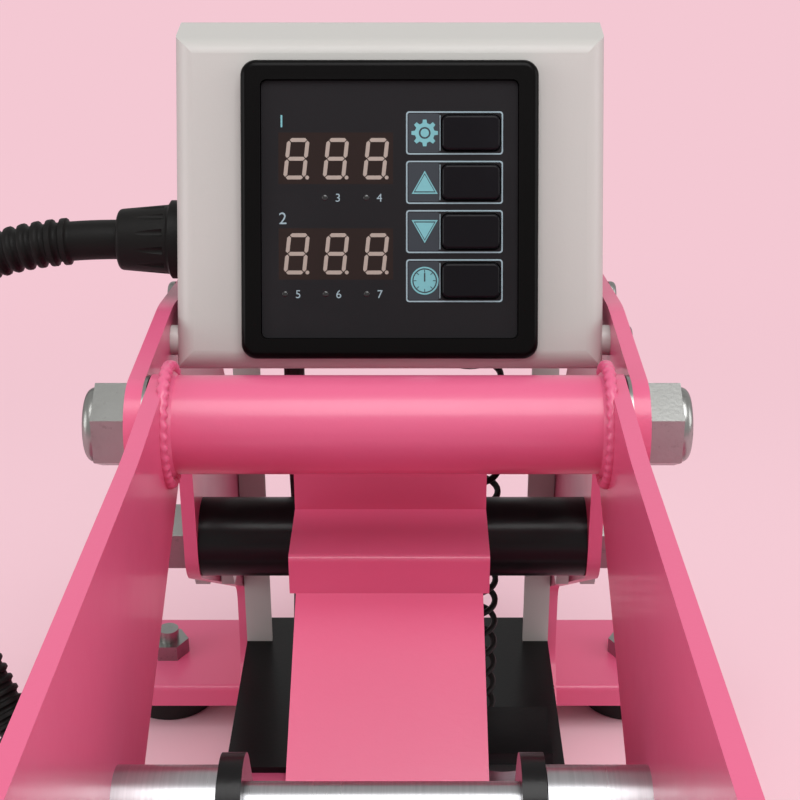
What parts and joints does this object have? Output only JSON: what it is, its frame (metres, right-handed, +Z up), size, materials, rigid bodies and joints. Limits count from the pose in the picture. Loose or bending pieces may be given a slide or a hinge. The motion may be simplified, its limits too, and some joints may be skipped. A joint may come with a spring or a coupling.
{
  "type": "automatic heat press",
  "caption": "Swing-arm heat press with a square pressing plate, an over-arm lifting handle, a gas spring and a control box with a keypad display.",
  "frame": {"origin": "centre of the bounding box on the floor", "axes": "+X to the operator's right, +Y to the rear, +Z up; the handle's grip is at the front"},
  "size_m": [0.38, 0.67, 0.3753],
  "materials": {
    "pink_steel": "gloss powder coat",
    "grey_sheet": "satin powder coat",
    "black_steel": "satin black paint",
    "zinc": "zinc plate",
    "ground_steel": "ground",
    "aluminium": "milled",
    "rubber": "matt",
    "silicone": "matt",
    "foam": "closed foam",
    "black_plastic": "fine texture",
    "gloss_black": "gloss",
    "charcoal": "fine texture",
    "window": "tinted"
  },
  "bodies": {
    "frame": {"upright_left": "pink_steel", "upright_right": "pink_steel", "base_rail_left": "pink_steel", "base_rail_right": "pink_steel", "rear_cross_plate": "pink_steel", "front_cross_plate": "pink_steel", "rear_deck": "black_steel", "rubber_feet": "rubber", "foot_nuts": "zinc", "control_housing": "grey_sheet", "housing_screws": "zinc", "housing_legs": "grey_sheet", "controller_bezel": "gloss_black", "display_panel": "charcoal", "display_windows": "window", "cable_gland": "black_plastic", "conduit": "black_plastic", "power_inlet": "black_plastic", "switch_frame": "black_plastic", "handle_pivot_shaft": "ground_steel", "arm_pivot_shaft": "ground_steel", "pivot_nuts": "zinc", "pivot_washers": "zinc", "arm_pivot_sleeve": "black_steel", "stop_bolts": "zinc", "magnet_stand": "black_steel", "electromagnet": "zinc", "spring_base_bracket": "black_steel", "lower_platen": "aluminium", "silicone_pad": "silicone", "platen_spacers": "aluminium", "curly_cord": "black_plastic", "cable_loom": "black_plastic"},
    "handle": {"handle_plate_left": "pink_steel", "handle_plate_right": "pink_steel", "handle_cross_tube": "pink_steel", "grip_bar": "ground_steel", "hand_grip": "foam", "crank_shaft": "ground_steel"},
    "arm": {"arm": "pink_steel", "arm_step_bracket": "pink_steel", "link_pin": "ground_steel", "spring_arm_bracket": "black_steel", "armature": "ground_steel", "armature_bracket": "black_steel", "screw_nut": "zinc"},
    "links": {"toggle_links": "black_steel"},
    "platen": {"heat_platen": "aluminium", "platen_cover": "pink_steel", "platen_hub": "aluminium", "platen_gland": "black_plastic"},
    "screw": {"pressure_screw": "ground_steel", "pressure_knob": "black_plastic"},
    "spring_cylinder": {"gas_spring_body": "black_steel"},
    "spring_rod": {"gas_spring_rod": "ground_steel"},
    "rocker": {"power_switch": "gloss_black"},
    "key_1": {"key_1": "gloss_black"},
    "key_2": {"key_2": "gloss_black"},
    "key_3": {"key_3": "gloss_black"},
    "key_4": {"key_4": "gloss_black"}
  },
  "joints": [
    {"name": "handle_lift", "type": "hinge", "parent": "frame", "child": "handle", "pos_m": [0, 0.06, 0.275], "axis": [-1, 0, 0], "range_deg": [0, 40]},
    {"name": "arm_lift", "type": "hinge", "parent": "frame", "child": "arm", "pos_m": [0, 0.152, 0.183], "axis": [-1, 0, 0], "range_deg": [0, 30]},
    {"name": "link_swing", "type": "hinge", "parent": "handle", "child": "links", "pos_m": [0, -0.05572, 0.226], "axis": [-1, 0, 0], "range_deg": [-47.8, 0]},
    {"name": "spring_tilt", "type": "hinge", "parent": "frame", "child": "spring_cylinder", "pos_m": [0, 0.15, 0.06], "axis": [-1, 0, 0], "range_deg": [0, 13.5]},
    {"name": "spring_stroke", "type": "slide", "parent": "spring_cylinder", "child": "spring_rod", "axis": [0, -0.8225, 0.5688], "range_m": [0, 0.05]},
    {"name": "platen_height", "type": "slide", "parent": "arm", "child": "platen", "axis": [0, 0, 1], "range_m": [0, 0.005]},
    {"name": "knob_turn", "type": "hinge", "parent": "platen", "child": "screw", "pos_m": [0, -0.127, 0.19], "axis": [0, 0, 1], "range_deg": [0, 450]},
    {"name": "power_rocker", "type": "hinge", "parent": "frame", "child": "rocker", "pos_m": [0.032, 0.2872, 0.28675], "axis": [0, 0, -1], "range_deg": [0, 16]},
    {"name": "key_1_press", "type": "slide", "parent": "frame", "child": "key_1", "axis": [0, 0.9243, -0.3817], "range_m": [0, 0.001], "stiffness_N_per_m": 400},
    {"name": "key_2_press", "type": "slide", "parent": "frame", "child": "key_2", "axis": [0, 0.9243, -0.3817], "range_m": [0, 0.001], "stiffness_N_per_m": 400},
    {"name": "key_3_press", "type": "slide", "parent": "frame", "child": "key_3", "axis": [0, 0.9243, -0.3817], "range_m": [0, 0.001], "stiffness_N_per_m": 400},
    {"name": "key_4_press", "type": "slide", "parent": "frame", "child": "key_4", "axis": [0, 0.9243, -0.3817], "range_m": [0, 0.001], "stiffness_N_per_m": 400}
  ],
  "couplings": [
    {"joint": "arm_lift", "follows": "handle_lift", "ratio": 0.75},
    {"joint": "link_swing", "follows": "handle_lift", "ratio": -1.194},
    {"joint": "spring_tilt", "follows": "handle_lift", "ratio": 0.3356},
    {"joint": "spring_stroke", "follows": "handle_lift", "m_per_rad": 0.07131},
    {"joint": "knob_turn", "follows": "platen_height", "rad_per_m": 1570.8}
  ]
}
